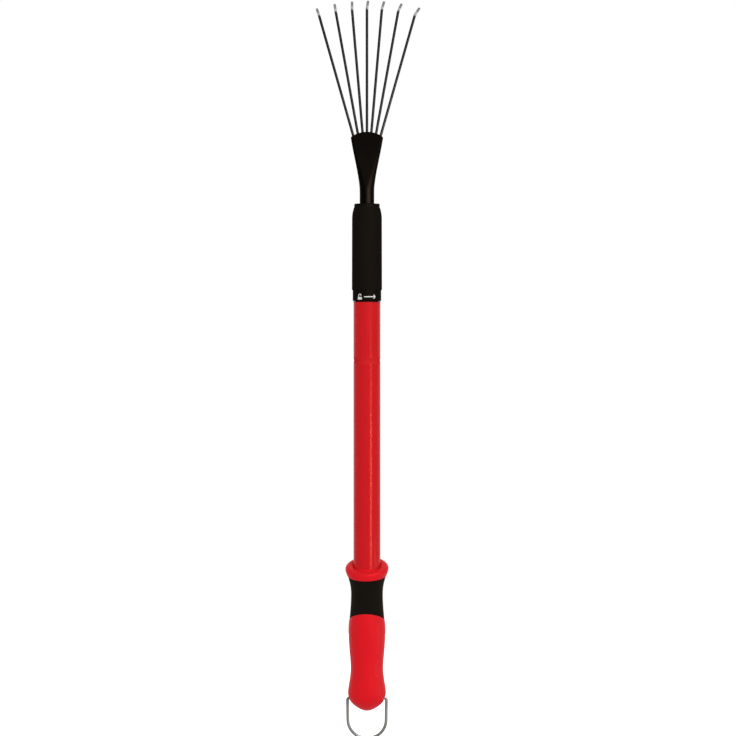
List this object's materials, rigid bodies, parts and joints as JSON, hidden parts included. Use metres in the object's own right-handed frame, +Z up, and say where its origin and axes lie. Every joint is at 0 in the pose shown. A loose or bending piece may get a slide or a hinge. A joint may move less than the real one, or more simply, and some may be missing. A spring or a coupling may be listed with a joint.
{
  "type": "telescopic hand rake",
  "caption": "Hand rake with a fan of hooked wire tines on a sliding tube, a twist lock, a red tube handle, a moulded grip and a wire hang loop.",
  "frame": {"origin": "on the shaft's axis at the middle of the hand grip", "axes": "+Z up along the shaft to the tines, +X across the fan of tines, +Y to the back, the way the hooks point"},
  "size_m": [0.0908, 0.0342, 0.638],
  "materials": {
    "red_paint": "gloss paint on tube",
    "red_plastic": "satin moulded plastic",
    "black_rubber": "matt soft moulding",
    "black_plastic": "satin moulded plastic",
    "natural_plastic": "natural moulded plastic",
    "black_paint": "gloss paint on steel",
    "black_wire": "black spring wire",
    "steel_wire": "drawn steel wire"
  },
  "bodies": {
    "handle": {"grip_core": "red_plastic", "soft_band": "black_rubber", "outer_tube": "red_paint", "lock_body": "black_plastic"},
    "clamp": {"collet": "natural_plastic"},
    "twist_sleeve": {"lock_nut": "black_plastic", "nut_cover": "black_rubber"},
    "slider": {"guide_bush": "natural_plastic"},
    "rake": {"inner_tube": "black_paint", "bush_clip": "steel_wire", "end_plug": "natural_plastic", "head_socket": "black_paint", "head_pin": "steel_wire", "tine_1": "black_wire", "tine_2": "black_wire", "tine_3": "black_wire", "tine_4": "black_wire", "tine_5": "black_wire", "tine_6": "black_wire", "tine_7": "black_wire"},
    "bail": {"hang_loop": "steel_wire"}
  },
  "joints": [
    {"name": "clamp_lift", "type": "slide", "parent": "handle", "child": "clamp", "axis": [0, 0, 1], "range_m": [0, 0.0015]},
    {"name": "lock_twist", "type": "hinge", "parent": "clamp", "child": "twist_sleeve", "pos_m": [0, 0, 0.3], "axis": [0, 0, 1], "range_deg": [0, 180]},
    {"name": "tube_slide", "type": "slide", "parent": "handle", "child": "slider", "axis": [0, 0, 1], "range_m": [0, 0.254]},
    {"name": "head_swivel", "type": "hinge", "parent": "slider", "child": "rake", "pos_m": [0, 0, 0.3], "axis": [0, 0, 1], "continuous": true},
    {"name": "bail_swing", "type": "hinge", "parent": "handle", "child": "bail", "pos_m": [0, 0, -0.0494], "axis": [1, 0, 0], "range_deg": [-90, 90]}
  ],
  "couplings": [
    {"joint": "clamp_lift", "follows": "lock_twist", "m_per_rad": 0.00047746}
  ]
}
